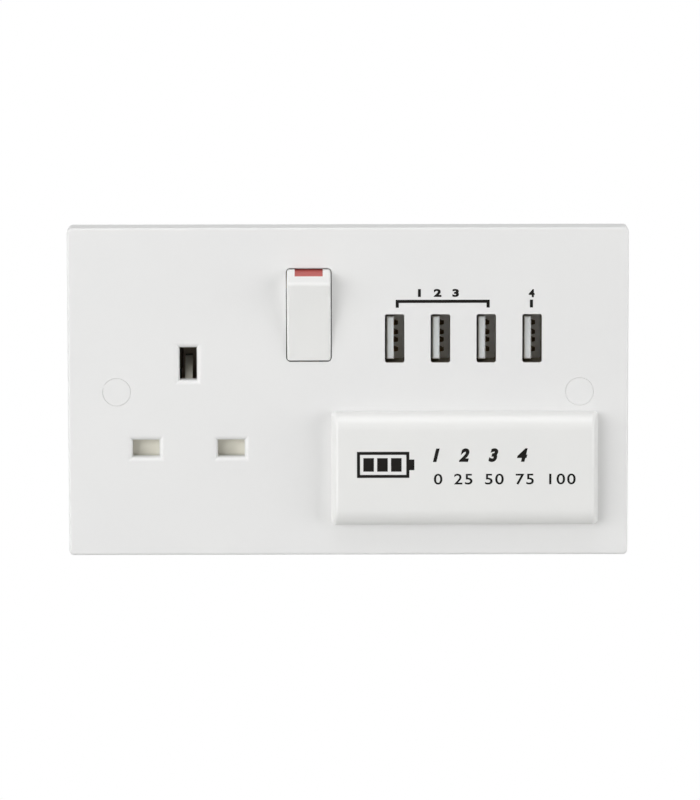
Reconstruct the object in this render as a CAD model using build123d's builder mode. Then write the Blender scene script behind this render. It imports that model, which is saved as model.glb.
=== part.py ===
from build123d import *
import os
from math import cos, radians, sin, sqrt

# A double wall plate with one switched plug socket and four charging ports.
# X runs to the right, Z up, and the front faces -Y. The wall plane is Y = 0.
# Heights ("out") are measured from the wall plane towards the front, so they are -Y.

# Faceplate
plate_width = 146.0
plate_height = 86.0
plate_depth = 9.0
panel_thickness = 2.6
rim_thickness = 2.2
plate_corner = 1.2
plate_edge = 0.7

# Fixing places and their push-in caps
fixing_spacing = 120.6
fixing_hole = 4.1
fixing_boss = 10.6
screw_head_depth = 4.4
cap_diameter = 7.2
cap_thickness = 1.4
cap_gap = 0.06
cap_ledge = 0.4
cap_spigot_wall = 0.7
cap_spigot_length = 1.2

# Plug socket
socket_x = -41.65
earth_z = 7.4
pin_rise = 22.23
pin_spread = 22.23
live_slot_width = 7.0
live_slot_height = 4.4
earth_slot_width = 4.5
earth_slot_height = 8.5
slot_round = 1.3
slot_collar = 1.4
slot_collar_margin = 1.4
live_pin_length = 17.7
earth_pin_length = 22.73
pin_thickness = 4.0
pin_end_gap = 1.0

# Shutter behind the slots
shutter_gap = 0.3
shutter_thickness = 2.0
shutter_overlap = 0.95
shutter_stem_width = 8.0
shutter_lip = 1.0
ramp_width = 1.9
ramp_reach = 6.0
ramp_drop = 0.6
ramp_thickness = 2.6
guide_thickness = 1.6
guide_length = 7.0
spring_diameter = 2.8
spring_wire = 0.4
spring_length = 10.8
spring_turns = 7
spring_seat_width = 5.0
spring_seat_thickness = 1.6

# Rocker switch
rocker_x = -10.16
rocker_z = 20.15
rocker_window_width = 11.9
rocker_window_height = 24.57
rocker_window_corner = 1.2
rocker_window_lip = 1.0
rocker_window_relief = 0.5
rocker_side_gap = 0.25
rocker_end_gap = 0.18
rocker_pivot_depth = 3.0
rocker_throw = 14.0
rocker_rise = 5.4
rocker_low_edge = 0.2
rocker_top_edge = 0.8
rocker_ridge_up = 8.65
rocker_skirt = 3.0
rocker_wall = 1.4
rocker_dish = 0.2
rocker_edge = 0.8
rocker_ridge_round = 1.0
pivot_pin = 2.4
pivot_pin_length = 1.5
pivot_gap = 0.06
journal_thickness = 1.8
journal_drop = 2.8
journal_width = 7.0
snap_slot = 1.9
flag_width = 7.3
flag_length = 2.35
flag_wrap = 2.4
flag_thickness = 0.8
flag_setback = 0.25
flag_round = 0.4

# Plunger, see-saw contact and contact tips
plunger_diameter = 3.0
plunger_gap = 0.06
plunger_reach = 10.0
plunger_length = 7.0
plunger_tube_wall = 1.0
plunger_tube_reach = 4.2
plunger_spring_wire = 0.35
plunger_spring_turns = 4
bridge_throw = 12.0
bridge_gap = 0.35
bridge_thickness = 0.8
bridge_width = 5.0
bridge_upper_arm = 9.2
bridge_lower_arm = 6.5
knuckle_width = 3.6
knuckle_length = 4.4
fulcrum_radius = 0.9
fulcrum_gap = 0.08
fulcrum_width = 3.2
tip_diameter = 3.0
tip_thickness = 0.8
tip_along = 7.6
tip_gap = 0.1
tip_dome = 0.35

# Contact strips and terminals
strip_thickness = 0.8
strip_width = 5.0
jaw_width = 5.8
jaw_grip = 0.15
jaw_flare = 0.85
jaw_belly = 0.3
jaw_lip_length = 1.8
jaw_bend = 0.7
jaw_mouth_gap = 1.4
earth_mouth_depth = 4.8
line_strap_x = -23.0
terminal_width = 7.5
terminal_length = 8.5
terminal_height = 7.5
terminal_top_z = -22.5
terminal_edge = 0.5
earth_terminal_pitch = 10.5
wire_bore = 4.4
wire_bore_length = 7.3
wire_entry_width = 6.6
wire_entry_height = 6.6
terminal_screw = 3.2
terminal_screw_gap = 0.05
terminal_screw_head = 5.0
terminal_head_thickness = 1.5
terminal_screw_access = 5.8
driver_slot_width = 0.8
driver_slot_depth = 0.8

# Socket base
base_left = -59.5
base_right = -0.9
base_bottom = -33.2
base_top = 34.5
base_wall = 1.4
base_floor = 1.6
base_corner = 2.0
lug_half_width = 6.8
lug_half_height = 8.0
post_width = 5.0
post_length = 4.0
base_screw_points = [(-54.0, 29.0), (-33.0, 29.0), (-20.5, -28.5)]

# Screws that hold the base and the charger housing to the plate
column_diameter = 6.4
boss_diameter = 5.2
case_screw = 2.4
case_screw_gap = 0.1
case_screw_head = 4.4
case_head_thickness = 1.4
base_screw_length = 13.0
charger_screw_length = 10.0
case_screw_bite = 5.0
base_boss_drop = 3.4

# Charging ports
port_first_x = 12.15
port_pitch = 11.92
port_count = 4
port_z = 13.95
port_width = 5.1
port_height = 12.7
port_corner = 0.6
port_lip = 1.0
shell_wall = 0.3
shell_gap = 0.1
shell_length = 13.2
tongue_depth = 2.0
tongue_thickness = 1.84
tongue_height = 11.1
tongue_offset = 1.1
tongue_body_length = 4.0
tongue_edge = 0.25
contact_places = (-3.5, -1.0, 1.0, 3.5)
contact_width = 1.0
contact_thickness = 0.25
contact_bulge = 0.9
contact_tip_back = 3.0
contact_run = 4.6

# Charger cover on the front
cover_x = 30.4
cover_z = -20.0
cover_width = 69.5
cover_height = 29.7
cover_rise = 5.0
cover_crown = 4.4
cover_draft = 12.5
cover_end_round = 1.1
cover_wall = 1.6
cover_window_x = 31.5
cover_window_width = 55.0
cover_window_height = 22.0
cover_window_corner = 2.0
skirt_gap = 0.15
skirt_wall = 1.3
skirt_drop = 1.3
hook_reach = 0.5
hook_height = 1.1
hook_width = 6.0
hook_spacing = 32.0

# Charger housing and board
charger_left = 0.3
charger_right = 62.5
charger_bottom = -33.2
charger_top = 30.0
charger_depth = 13.0
charger_step_x = 53.0
charger_step_z = -7.6
charger_wall = 1.4
charger_floor = 1.6
charger_corner = 1.5
charger_screw_points = [(5.2, 25.4), (46.0, 25.4), (30.4, -1.8)]
vent_width = 1.6
vent_length = 14.0
vent_pitch = 4.0
vent_count = 6
vent_x = 30.0
vent_z = -20.0
board_thickness = 1.6
board_gap = 0.4
board_hole_gap = 0.3

# Pieces on the board
transformer_x = 30.0
transformer_z = -20.0
core_width = 20.0
core_height = 14.4
core_depth = 6.5
core_leg = 5.2
core_yoke = 2.8
core_side = 3.0
bobbin_width = 18.0
bobbin_depth = 17.0
bobbin_height = 2.4
winding_gap = 0.3
winding_overhang = 4.2
bulk_points = [(12.0, -15.3), (12.0, -24.7)]
bulk_diameter = 9.0
bulk_height = 16.0
output_points = [(46.0, -15.0), (46.0, -25.0), (53.2, -20.0)]
output_diameter = 8.0
output_height = 11.5
can_groove = 0.4
can_groove_up = 1.8
can_edge = 0.5
film_x = 15.5
film_z = -3.2
film_width = 13.0
film_depth = 6.0
film_height = 10.5
fuse_x = 43.0
fuse_z = -2.6
fuse_diameter = 8.0
fuse_height = 7.5
chip_places = [(20.0, 16.0), (40.0, 16.0), (20.0, -20.0)]
chip_width = 6.0
chip_length = 5.0
chip_thickness = 1.5

# Leads from the terminals to the board
lead_diameter = 1.8
lead_bend = 2.4
lead_out = -1.0
lead_end_x = 5.0
line_lead_z = -8.0
neutral_lead_z = -20.6
lead_hole = 2.6

# Heights and places that follow from the sizes above
front = plate_depth
panel_back = front - panel_thickness
live_z = earth_z - pin_rise
neutral_x = socket_x - pin_spread / 2
line_x = socket_x + pin_spread / 2
fixing_points = [(-fixing_spacing / 2, 0), (fixing_spacing / 2, 0)]
pocket_width = plate_width - 2 * rim_thickness
pocket_height = plate_height - 2 * rim_thickness

shutter_front = panel_back - slot_collar - shutter_gap
shutter_back = shutter_front - shutter_thickness
blade_height = live_slot_height + 2 * shutter_overlap
blade_width = pin_spread + live_slot_width + 2 * shutter_overlap
ramp_foot_z = earth_z - earth_slot_height / 2 - ramp_drop
spring_top_z = live_z - blade_height / 2
spring_seat_z = spring_top_z - spring_length
spring_out = shutter_front - spring_diameter / 2

pivot_out = front - rocker_pivot_depth
rocker_width = rocker_window_width - 2 * rocker_side_gap
half_window = rocker_window_height / 2
rocker_end_radius = sqrt(half_window**2 + (rocker_pivot_depth - rocker_window_lip) ** 2) - rocker_end_gap
rocker_tilt = radians(rocker_throw / 2)
bridge_tilt = radians(bridge_throw / 2)
bridge_front = plunger_reach + bridge_gap
knuckle_radius = fulcrum_radius + fulcrum_gap
bridge_axis_drop = bridge_front + bridge_thickness + knuckle_radius
bridge_out = pivot_out - bridge_axis_drop
tip_face = knuckle_radius - tip_thickness

strip_front = front - live_pin_length - pin_end_gap
strip_back = strip_front - strip_thickness
earth_strip_front = front - earth_pin_length - pin_end_gap
floor_out = earth_strip_front - strip_thickness
base_back = floor_out - base_floor
jaw_mouth = shutter_back - jaw_mouth_gap
earth_mouth = -earth_mouth_depth
terminal_xs = {
    "neutral": neutral_x,
    "earth_1": socket_x,
    "earth_2": socket_x + earth_terminal_pitch,
    "line": rocker_x,
}
terminal_z = terminal_top_z - terminal_length / 2
terminal_out = floor_out + terminal_height / 2
wire_mouth_z = terminal_top_z - terminal_length

port_xs = [port_first_x + port_pitch * i for i in range(port_count)]
shell_front = front - port_lip
shell_width = port_width + 2 * shell_wall
shell_height = port_height + 2 * shell_wall
board_front = shell_front - shell_length
board_back = board_front - board_thickness
charger_back_out = -charger_depth
charger_floor_out = charger_back_out + charger_floor
tongue_tip = front - tongue_depth
skirt_end = panel_back - skirt_drop


def level(out):
    # A plane parallel to the wall, facing the front: local x is X and local y is Z
    return Plane.XZ.offset(out)


def side(x):
    # An upright plane across the plate: local x is Z and local y is the height above the wall
    return Plane(origin=(x, 0, 0), x_dir=(0, 0, 1), z_dir=(1, 0, 0))


def plan(z):
    # A flat plane seen from below: local x is X and local y is the height above the wall
    return Plane(origin=(0, 0, z), x_dir=(1, 0, 0), z_dir=(0, 0, -1))


def tilted_side(x, z, out, tilt):
    # The side plane turned about a pivot, with its top edge leaning to the front
    return Plane(origin=(x, -out, z), x_dir=(0, -sin(tilt), cos(tilt)), z_dir=(1, 0, 0))


def tilted_level(x, z, out, tilt):
    # The wall plane turned the same way about a pivot
    return Plane(origin=(x, -out, z), x_dir=(1, 0, 0), z_dir=(0, -cos(tilt), -sin(tilt)))


def span(left, right, low, high, mode=Mode.ADD):
    # A rectangle between four edges
    with Locations(((left + right) / 2, (low + high) / 2)):
        Rectangle(right - left, high - low, mode=mode)


def pin_slots(earth_size, live_size):
    # The three openings of the plug socket
    with Locations((socket_x, earth_z)):
        Rectangle(*earth_size)
    with Locations((neutral_x, live_z), (line_x, live_z)):
        Rectangle(*live_size)


def strip(points):
    # A flat brass strip of even width along a bent line
    with BuildLine() as path:
        Polyline(points)
    trace(path.line, line_width=strip_width)


def jaw(centre, mouth, floor):
    # The bent section of a pair of sprung jaws that grip a pin from both sides
    middle = floor - strip_thickness / 2
    throat = pin_thickness / 2 - jaw_grip + strip_thickness / 2
    outline = [
        (centre - throat - jaw_flare, mouth),
        (centre - throat, mouth - jaw_lip_length),
        (centre - throat - jaw_belly, middle),
        (centre + throat + jaw_belly, middle),
        (centre + throat, mouth - jaw_lip_length),
        (centre + throat + jaw_flare, mouth),
    ]
    with BuildLine() as path:
        FilletPolyline(*outline, radius=jaw_bend)
    trace(path.line, line_width=strip_thickness)


# Faceplate: a shallow moulded tray with bosses and bearings behind its panel
with BuildPart() as front_plate:
    with BuildSketch(level(0)):
        RectangleRounded(plate_width, plate_height, plate_corner)
    extrude(amount=plate_depth)
    fillet(front_plate.faces().sort_by(Axis.Y)[0].edges(), plate_edge)
    with BuildSketch(level(0)):
        Rectangle(pocket_width, pocket_height)
    extrude(amount=panel_back, mode=Mode.SUBTRACT)
    # Pin slots with rolled-over rims, each in a collar that the shutter lies against
    with BuildSketch(level(panel_back - slot_collar)):
        pin_slots(
            (earth_slot_width + 2 * slot_collar_margin, earth_slot_height + 2 * slot_collar_margin),
            (live_slot_width + 2 * slot_collar_margin, live_slot_height + 2 * slot_collar_margin),
        )
    extrude(amount=slot_collar)
    with BuildSketch(level(front)):
        pin_slots((earth_slot_width, earth_slot_height), (live_slot_width, live_slot_height))
    extrude(amount=-panel_thickness - slot_collar, mode=Mode.SUBTRACT)
    slot_rims = front_plate.faces().sort_by(Axis.Y)[0].inner_wires()
    fillet(slot_rims.edges(), slot_round)
    # Fixing bosses, with a stepped recess for the screw head and its cap
    with BuildSketch(level(0)):
        with Locations(*fixing_points):
            Circle(fixing_boss / 2)
    extrude(amount=panel_back)
    with BuildSketch(level(front)):
        with Locations(*fixing_points):
            Circle(cap_diameter / 2 + cap_gap)
    extrude(amount=-cap_thickness, mode=Mode.SUBTRACT)
    with BuildSketch(level(front)):
        with Locations(*fixing_points):
            Circle(cap_diameter / 2 - cap_ledge)
    extrude(amount=-screw_head_depth, mode=Mode.SUBTRACT)
    with BuildSketch(level(0)):
        with Locations(*fixing_points):
            Circle(fixing_hole / 2)
    extrude(amount=plate_depth, mode=Mode.SUBTRACT)
    # Rocker window, opened out behind its lip so that the rocker's ends can swing
    with BuildSketch(level(front)):
        with Locations((rocker_x, rocker_z)):
            RectangleRounded(rocker_window_width, rocker_window_height, rocker_window_corner)
    extrude(amount=-panel_thickness, mode=Mode.SUBTRACT)
    with BuildSketch(level(panel_back)):
        with Locations((rocker_x, rocker_z)):
            Rectangle(rocker_window_width, rocker_window_height + 2 * rocker_window_relief)
    extrude(amount=panel_thickness - rocker_window_lip, mode=Mode.SUBTRACT)
    # Snap-in bearings for the rocker's two pivot pins
    for edge, reach in ((-1, -journal_thickness), (1, journal_thickness)):
        edge_x = rocker_x + edge * rocker_window_width / 2
        with BuildSketch(side(edge_x)):
            span(rocker_z - journal_width / 2, rocker_z + journal_width / 2,
                 panel_back - journal_drop, panel_back)
        extrude(amount=reach)
        with BuildSketch(side(edge_x)):
            with Locations((rocker_z, pivot_out)):
                Circle(pivot_pin / 2 + pivot_gap)
            span(rocker_z - snap_slot / 2, rocker_z + snap_slot / 2,
                 panel_back - journal_drop, pivot_out)
        extrude(amount=reach, mode=Mode.SUBTRACT)
    # Guides that hold the shutter's stem, hooked over its back edges
    guide_x = shutter_stem_width / 2 + shutter_gap
    guide_end = shutter_back - shutter_gap
    for edge in (-1, 1):
        with BuildSketch(plan(ramp_foot_z)):
            with Locations((socket_x + edge * (guide_x + guide_thickness / 2), (panel_back + guide_end) / 2)):
                Rectangle(guide_thickness, panel_back - guide_end)
            with Locations((socket_x + edge * (guide_x + (guide_thickness - shutter_lip) / 2),
                            guide_end - guide_thickness / 2)):
                Rectangle(guide_thickness + shutter_lip, guide_thickness)
        extrude(amount=guide_length)
    # Seat for the shutter's return spring
    with BuildSketch(plan(spring_seat_z)):
        span(socket_x - spring_seat_width / 2, socket_x + spring_seat_width / 2,
             spring_out - spring_diameter / 2, panel_back)
    extrude(amount=spring_seat_thickness)
    # Port windows, each with a recess behind it that takes the mouth of a receptacle
    with BuildSketch(level(front)):
        with Locations(*[(x, port_z) for x in port_xs]):
            RectangleRounded(port_width, port_height, port_corner)
    extrude(amount=-panel_thickness, mode=Mode.SUBTRACT)
    with BuildSketch(level(panel_back)):
        with Locations(*[(x, port_z) for x in port_xs]):
            RectangleRounded(
                shell_width + 2 * shell_gap, shell_height + 2 * shell_gap, port_corner + shell_gap,
            )
    extrude(amount=shell_front - panel_back, mode=Mode.SUBTRACT)
    # Window behind the charger cover
    with BuildSketch(level(front)):
        with Locations((cover_window_x, cover_z)):
            RectangleRounded(cover_window_width, cover_window_height, cover_window_corner)
    extrude(amount=-panel_thickness, mode=Mode.SUBTRACT)
    # Screw bosses for the base and the charger housing
    for points, boss_end in (
        (base_screw_points, panel_back - base_boss_drop),
        (charger_screw_points, board_front),
    ):
        with BuildSketch(level(panel_back)):
            with Locations(*points):
                Circle(boss_diameter / 2)
        extrude(amount=boss_end - panel_back)
        with BuildSketch(level(boss_end)):
            with Locations(*points):
                Circle(case_screw / 2)
        extrude(amount=case_screw_bite, mode=Mode.SUBTRACT)


def screw_cap(point):
    # A push-in cap with a hollow spigot, flush with the front
    with BuildPart() as cap:
        with BuildSketch(level(front)):
            with Locations(point):
                Circle(cap_diameter / 2)
        extrude(amount=-cap_thickness)
        spigot = cap_diameter / 2 - cap_ledge - cap_gap
        with BuildSketch(level(front - cap_thickness)):
            with Locations(point):
                Circle(spigot)
                Circle(spigot - cap_spigot_wall, mode=Mode.SUBTRACT)
        extrude(amount=-cap_spigot_length)
    return cap


# Rocker: a hollow paddle, modelled switched on, with its top edge out
low_edge = rocker_pivot_depth + rocker_low_edge
top_edge = rocker_pivot_depth + rocker_top_edge
ridge = rocker_pivot_depth + rocker_rise
end_at_top = sqrt(rocker_end_radius**2 - top_edge**2)
end_at_low_edge = sqrt(rocker_end_radius**2 - low_edge**2)
end_at_skirt = sqrt(rocker_end_radius**2 - rocker_skirt**2)
bevel_run = Vector(rocker_ridge_up - end_at_top, ridge - top_edge)
bevel_dir = bevel_run.normalized()
flag_low = end_at_top + bevel_dir.X * flag_length
pivot_side = tilted_side(rocker_x, rocker_z, pivot_out, 0)
plunger_level = tilted_level(rocker_x, rocker_z, pivot_out, rocker_tilt)

with BuildSketch(pivot_side) as rocker_section:
    with BuildLine():
        SagittaArc((-end_at_low_edge, low_edge), (rocker_ridge_up, ridge), -rocker_dish)
        Line((rocker_ridge_up, ridge), (end_at_top, top_edge))
        ThreePointArc((end_at_top, top_edge), (rocker_end_radius, 0), (end_at_skirt, -rocker_skirt))
        Line((end_at_skirt, -rocker_skirt), (-end_at_skirt, -rocker_skirt))
        ThreePointArc((-end_at_skirt, -rocker_skirt), (-rocker_end_radius, 0), (-end_at_low_edge, low_edge))
    make_face()
    fillet(rocker_section.vertices().sort_by(lambda v: v.Y)[-1], rocker_ridge_round)

# The flag's pocket: a band along the bevel and over the rocker's top end
with BuildSketch(pivot_side) as flag_pocket:
    make_face(rocker_section.sketch_local.edges())
    offset(rocker_section.sketch_local, amount=-flag_thickness, mode=Mode.SUBTRACT)
    span(flag_low, rocker_end_radius, top_edge - flag_wrap, ridge, mode=Mode.INTERSECT)

# The flag fills it, but for its top end, which is set back and rounded
with BuildSketch(pivot_side) as flag_section:
    make_face(flag_pocket.sketch_local.edges())
    Circle(rocker_end_radius - flag_setback, mode=Mode.INTERSECT)
    fillet(flag_section.vertices().sort_by_distance((end_at_top, top_edge))[0], flag_round)

# The rocker's hollow underside, which leaves a tube standing for the plunger
tube_radius = plunger_diameter / 2 + plunger_gap + plunger_tube_wall
with BuildPart() as rocker_hollow:
    with BuildSketch(pivot_side):
        make_face(rocker_section.sketch_local.edges())
        offset(amount=-rocker_wall, mode=Mode.REPLACE)
        inner_end = end_at_skirt - rocker_wall
        span(-inner_end, inner_end, -2 * rocker_skirt, 0)
    extrude(amount=rocker_width / 2 - rocker_wall, both=True)
    with BuildSketch(plunger_level):
        Circle(tube_radius)
    extrude(amount=rocker_end_radius, both=True, mode=Mode.SUBTRACT)

with BuildPart() as rocker:
    with BuildSketch(pivot_side):
        make_face(rocker_section.sketch_local.edges())
    extrude(amount=rocker_width / 2, both=True)
    flanks = rocker.faces().filter_by(Axis.X)
    rims = flanks.edges().filter_by(lambda e: e.center().Y < -(pivot_out - rocker_skirt) - rocker_edge)
    fillet(rims, rocker_edge)
    add(rocker_hollow.part, mode=Mode.SUBTRACT)
    with BuildSketch(plunger_level):
        Circle(tube_radius)
    extrude(amount=-plunger_tube_reach)
    # Bore of the plunger's tube
    with BuildSketch(plunger_level.offset(-plunger_tube_reach)):
        Circle(plunger_diameter / 2 + plunger_gap)
    extrude(amount=plunger_tube_reach + rocker_pivot_depth - rocker_wall, mode=Mode.SUBTRACT)
    # Pivot pins
    for edge in (-1, 1):
        with BuildSketch(pivot_side.offset(edge * (rocker_width / 2))):
            Circle(pivot_pin / 2)
        extrude(amount=edge * pivot_pin_length)
    # Pocket for the flag
    with BuildSketch(pivot_side):
        make_face(flag_pocket.sketch_local.edges())
    extrude(amount=flag_width / 2, both=True, mode=Mode.SUBTRACT)

with BuildPart() as rocker_flag:
    with BuildSketch(pivot_side):
        make_face(flag_section.sketch_local.edges())
    extrude(amount=flag_width / 2, both=True)

# Plunger with a round nose, and the spring above it in the rocker's tube
with BuildPart() as rocker_plunger:
    nose = plunger_reach - plunger_diameter / 2
    with BuildSketch(plunger_level.offset(-nose)):
        Circle(plunger_diameter / 2)
    extrude(amount=plunger_length - plunger_diameter / 2)
    with Locations(plunger_level.offset(-nose)):
        Sphere(plunger_diameter / 2)

spring_room = plunger_reach - plunger_length + rocker_pivot_depth - rocker_wall


def coil(plane, length, diameter, wire, turns):
    # A spring of round wire that stands on a plane
    middle = (diameter - wire) / 2
    rise = length - wire
    with BuildPart() as spring:
        with BuildLine() as path:
            Helix(rise / turns, rise, middle, center=plane.offset(wire / 2).origin, direction=plane.z_dir)
        with BuildSketch(Plane(origin=path.line @ 0, z_dir=path.line % 0)):
            Circle(wire / 2)
        sweep(is_frenet=True)
    return spring


plunger_spring = coil(
    plunger_level.offset(-(plunger_reach - plunger_length)),
    spring_room, plunger_diameter, plunger_spring_wire, plunger_spring_turns,
)

# See-saw contact, tipped with its upper arm pressed in
bridge_side = tilted_side(rocker_x, rocker_z, bridge_out, -bridge_tilt)
bridge_level = tilted_level(rocker_x, rocker_z, bridge_out, -bridge_tilt)
with BuildPart() as switch_bridge:
    with BuildSketch(bridge_level.offset(knuckle_radius)):
        with Locations((0, (bridge_upper_arm - bridge_lower_arm) / 2)):
            RectangleRounded(bridge_width, bridge_upper_arm + bridge_lower_arm, bridge_thickness)
    extrude(amount=bridge_thickness)
    with BuildSketch(bridge_side):
        span(-knuckle_length / 2, knuckle_length / 2, 0, knuckle_radius)
        Circle(knuckle_radius, mode=Mode.SUBTRACT)
    extrude(amount=knuckle_width / 2, both=True)

with BuildPart() as moving_tip:
    with BuildSketch(bridge_level.offset(knuckle_radius)):
        with Locations((0, tip_along)):
            Circle(tip_diameter / 2)
    extrude(amount=-tip_thickness)

# Fixed silver tip, a domed rivet that meets the moving one
tip_z = rocker_z + tip_along * cos(bridge_tilt) + tip_face * sin(bridge_tilt)
tip_out = bridge_out - tip_along * sin(bridge_tilt) + tip_face * cos(bridge_tilt) - tip_gap
with BuildPart() as fixed_tip:
    with BuildSketch(tilted_side(rocker_x, tip_z, 0, 0)):
        with BuildLine():
            Line((0, strip_front), (0, tip_out))
            ThreePointArc(
                (0, tip_out),
                (tip_diameter / 4, tip_out - tip_dome / 4),
                (tip_diameter / 2, tip_out - tip_dome),
            )
            Line((tip_diameter / 2, tip_out - tip_dome), (tip_diameter / 2, strip_front))
            Line((tip_diameter / 2, strip_front), (0, strip_front))
        make_face()
    revolve(axis=Axis((rocker_x, 0, tip_z), (0, 1, 0)))

# Brass contacts for the plug's pins
with BuildPart() as line_contact:
    with BuildSketch(side(line_x)):
        jaw(live_z, jaw_mouth, strip_front)
    extrude(amount=jaw_width / 2, both=True)
    with BuildSketch(level(strip_back)):
        strip([(line_x, live_z), (line_strap_x, live_z), (line_strap_x, tip_z),
               (rocker_x + strip_width / 2, tip_z)])
    extrude(amount=strip_thickness)

with BuildPart() as neutral_contact:
    with BuildSketch(side(neutral_x)):
        jaw(live_z, jaw_mouth, strip_front)
    extrude(amount=jaw_width / 2, both=True)
    with BuildSketch(level(strip_back)):
        strip([(neutral_x, live_z), (neutral_x, terminal_top_z)])
    extrude(amount=strip_thickness)

with BuildPart() as earth_contact:
    with BuildSketch(plan(earth_z)):
        jaw(socket_x, earth_mouth, earth_strip_front)
    extrude(amount=jaw_width / 2, both=True)
    branch_z = terminal_top_z + strip_width / 2
    with BuildSketch(level(floor_out)):
        strip([(socket_x, earth_z), (socket_x, branch_z),
               (terminal_xs["earth_2"] + strip_width / 2, branch_z)])
    extrude(amount=strip_thickness)

# Feed strip from the line terminal up to the round fulcrum that the see-saw rocks on
with BuildPart() as feed_strip:
    with BuildSketch(level(strip_back)):
        strip([(rocker_x, terminal_top_z), (rocker_x, rocker_z + knuckle_length / 2)])
    extrude(amount=strip_thickness)
    with BuildSketch(side(rocker_x)):
        with Locations((rocker_z, bridge_out)):
            Circle(fulcrum_radius)
        span(rocker_z - fulcrum_radius, rocker_z + fulcrum_radius, strip_front, bridge_out)
    extrude(amount=fulcrum_width / 2, both=True)


def terminal(x):
    # A brass block with a blind wire hole from below and a screw hole from behind
    with BuildPart() as block:
        with BuildSketch(level(floor_out)):
            with Locations((x, terminal_z)):
                RectangleRounded(terminal_width, terminal_length, terminal_edge)
        extrude(amount=terminal_height)
        with BuildSketch(plan(wire_mouth_z)):
            with Locations((x, terminal_out)):
                Circle(wire_bore / 2)
        extrude(amount=-wire_bore_length, mode=Mode.SUBTRACT)
        with BuildSketch(level(floor_out)):
            with Locations((x, terminal_z)):
                Circle(terminal_screw / 2 + terminal_screw_gap)
        extrude(amount=terminal_height / 2, mode=Mode.SUBTRACT)
    return block


# Clamping screws, backed out so that the wire holes are open
terminal_points = [(x, terminal_z) for x in terminal_xs.values()]
screw_tip = terminal_out - wire_bore / 2
screw_seat = base_back + terminal_head_thickness / 2
with BuildPart() as terminal_screws:
    with BuildSketch(level(screw_tip)):
        with Locations(*terminal_points):
            Circle(terminal_screw / 2)
    extrude(amount=screw_seat - screw_tip)
    with BuildSketch(level(screw_seat)):
        with Locations(*terminal_points):
            Circle(terminal_screw_head / 2)
    extrude(amount=-terminal_head_thickness)
    with BuildSketch(level(screw_seat - terminal_head_thickness)):
        with Locations(*terminal_points):
            Rectangle(terminal_screw_head, driver_slot_width)
    extrude(amount=driver_slot_depth, mode=Mode.SUBTRACT)

# Shutter: two blades on a stem, with a ramp that an earth pin pushes down
with BuildPart() as shutter:
    with BuildSketch(level(shutter_back)):
        with Locations((socket_x, live_z)):
            Rectangle(blade_width, blade_height)
        span(socket_x - shutter_stem_width / 2, socket_x + shutter_stem_width / 2, live_z, ramp_foot_z)
    extrude(amount=shutter_thickness)
    with BuildSketch(side(socket_x)):
        with BuildLine():
            Polyline(
                (ramp_foot_z - ramp_thickness, shutter_front),
                (ramp_foot_z, shutter_front),
                (ramp_foot_z + ramp_reach, shutter_front - ramp_reach),
                (ramp_foot_z + ramp_reach, shutter_front - ramp_reach - ramp_thickness),
                (ramp_foot_z - ramp_thickness + shutter_thickness, shutter_back),
                (ramp_foot_z - ramp_thickness, shutter_back),
                close=True,
            )
        make_face()
    extrude(amount=ramp_width / 2, both=True)

shutter_spring = coil(
    Plane(origin=(socket_x, -spring_out, spring_seat_z)),
    spring_length, spring_diameter, spring_wire, spring_turns,
)

# Base: a deep tray that carries the contacts and terminals
base_column_end = panel_back - base_boss_drop
lug_edge = -fixing_spacing / 2 + lug_half_width
with BuildPart() as socket_base:
    with BuildSketch(level(base_back)) as base_outline:
        span(base_left, base_right, base_bottom, base_top)
        with Locations(((base_left + lug_edge) / 2, 0)):
            Rectangle(lug_edge - base_left, 2 * lug_half_height, mode=Mode.SUBTRACT)
        fillet(base_outline.vertices(), base_corner)
    extrude(amount=panel_back - base_back)
    with BuildSketch(level(floor_out)):
        make_face(base_outline.sketch_local.edges())
        offset(amount=-base_wall, mode=Mode.REPLACE)
    extrude(amount=panel_back - floor_out, mode=Mode.SUBTRACT)
    # Screw columns that meet the plate's bosses
    with BuildSketch(level(base_back)):
        with Locations(*base_screw_points):
            Circle(column_diameter / 2)
    extrude(amount=base_column_end - base_back)
    with BuildSketch(level(base_back)):
        with Locations(*base_screw_points):
            Circle(case_screw / 2 + case_screw_gap)
    extrude(amount=base_column_end - base_back, mode=Mode.SUBTRACT)
    base_seat = base_column_end + case_screw_bite - base_screw_length
    with BuildSketch(level(base_back)):
        with Locations(*base_screw_points):
            Circle(case_screw_head / 2 + case_screw_gap)
    extrude(amount=base_seat - base_back, mode=Mode.SUBTRACT)
    # Posts under the strips
    with BuildSketch(level(floor_out)):
        with Locations((line_x, live_z), (line_strap_x, rocker_z), (rocker_x, tip_z), (rocker_x, rocker_z)):
            Rectangle(post_width, post_length)
    extrude(amount=strip_back - floor_out)
    # Wire entries below and screw access behind
    with BuildSketch(plan(base_bottom)):
        with Locations(*[(x, terminal_out) for x in terminal_xs.values()]):
            Rectangle(wire_entry_width, wire_entry_height)
    extrude(amount=-base_wall, mode=Mode.SUBTRACT)
    with BuildSketch(level(base_back)):
        with Locations(*terminal_points):
            Circle(terminal_screw_access / 2)
    extrude(amount=base_floor, mode=Mode.SUBTRACT)
    # Holes for the leads to the charger
    with BuildSketch(side(base_right)):
        with Locations((line_lead_z, lead_out), (neutral_lead_z, lead_out)):
            Circle(lead_hole / 2)
    extrude(amount=-base_wall, mode=Mode.SUBTRACT)


def case_screws(points, seat, length):
    # Round-head screws driven into the plate's bosses from behind
    with BuildPart() as screws:
        with BuildSketch(level(seat)):
            with Locations(*points):
                Circle(case_screw / 2)
        extrude(amount=length)
        with BuildSketch(level(seat)):
            with Locations(*points):
                Circle(case_screw_head / 2)
        extrude(amount=-case_head_thickness)
    return screws


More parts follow.
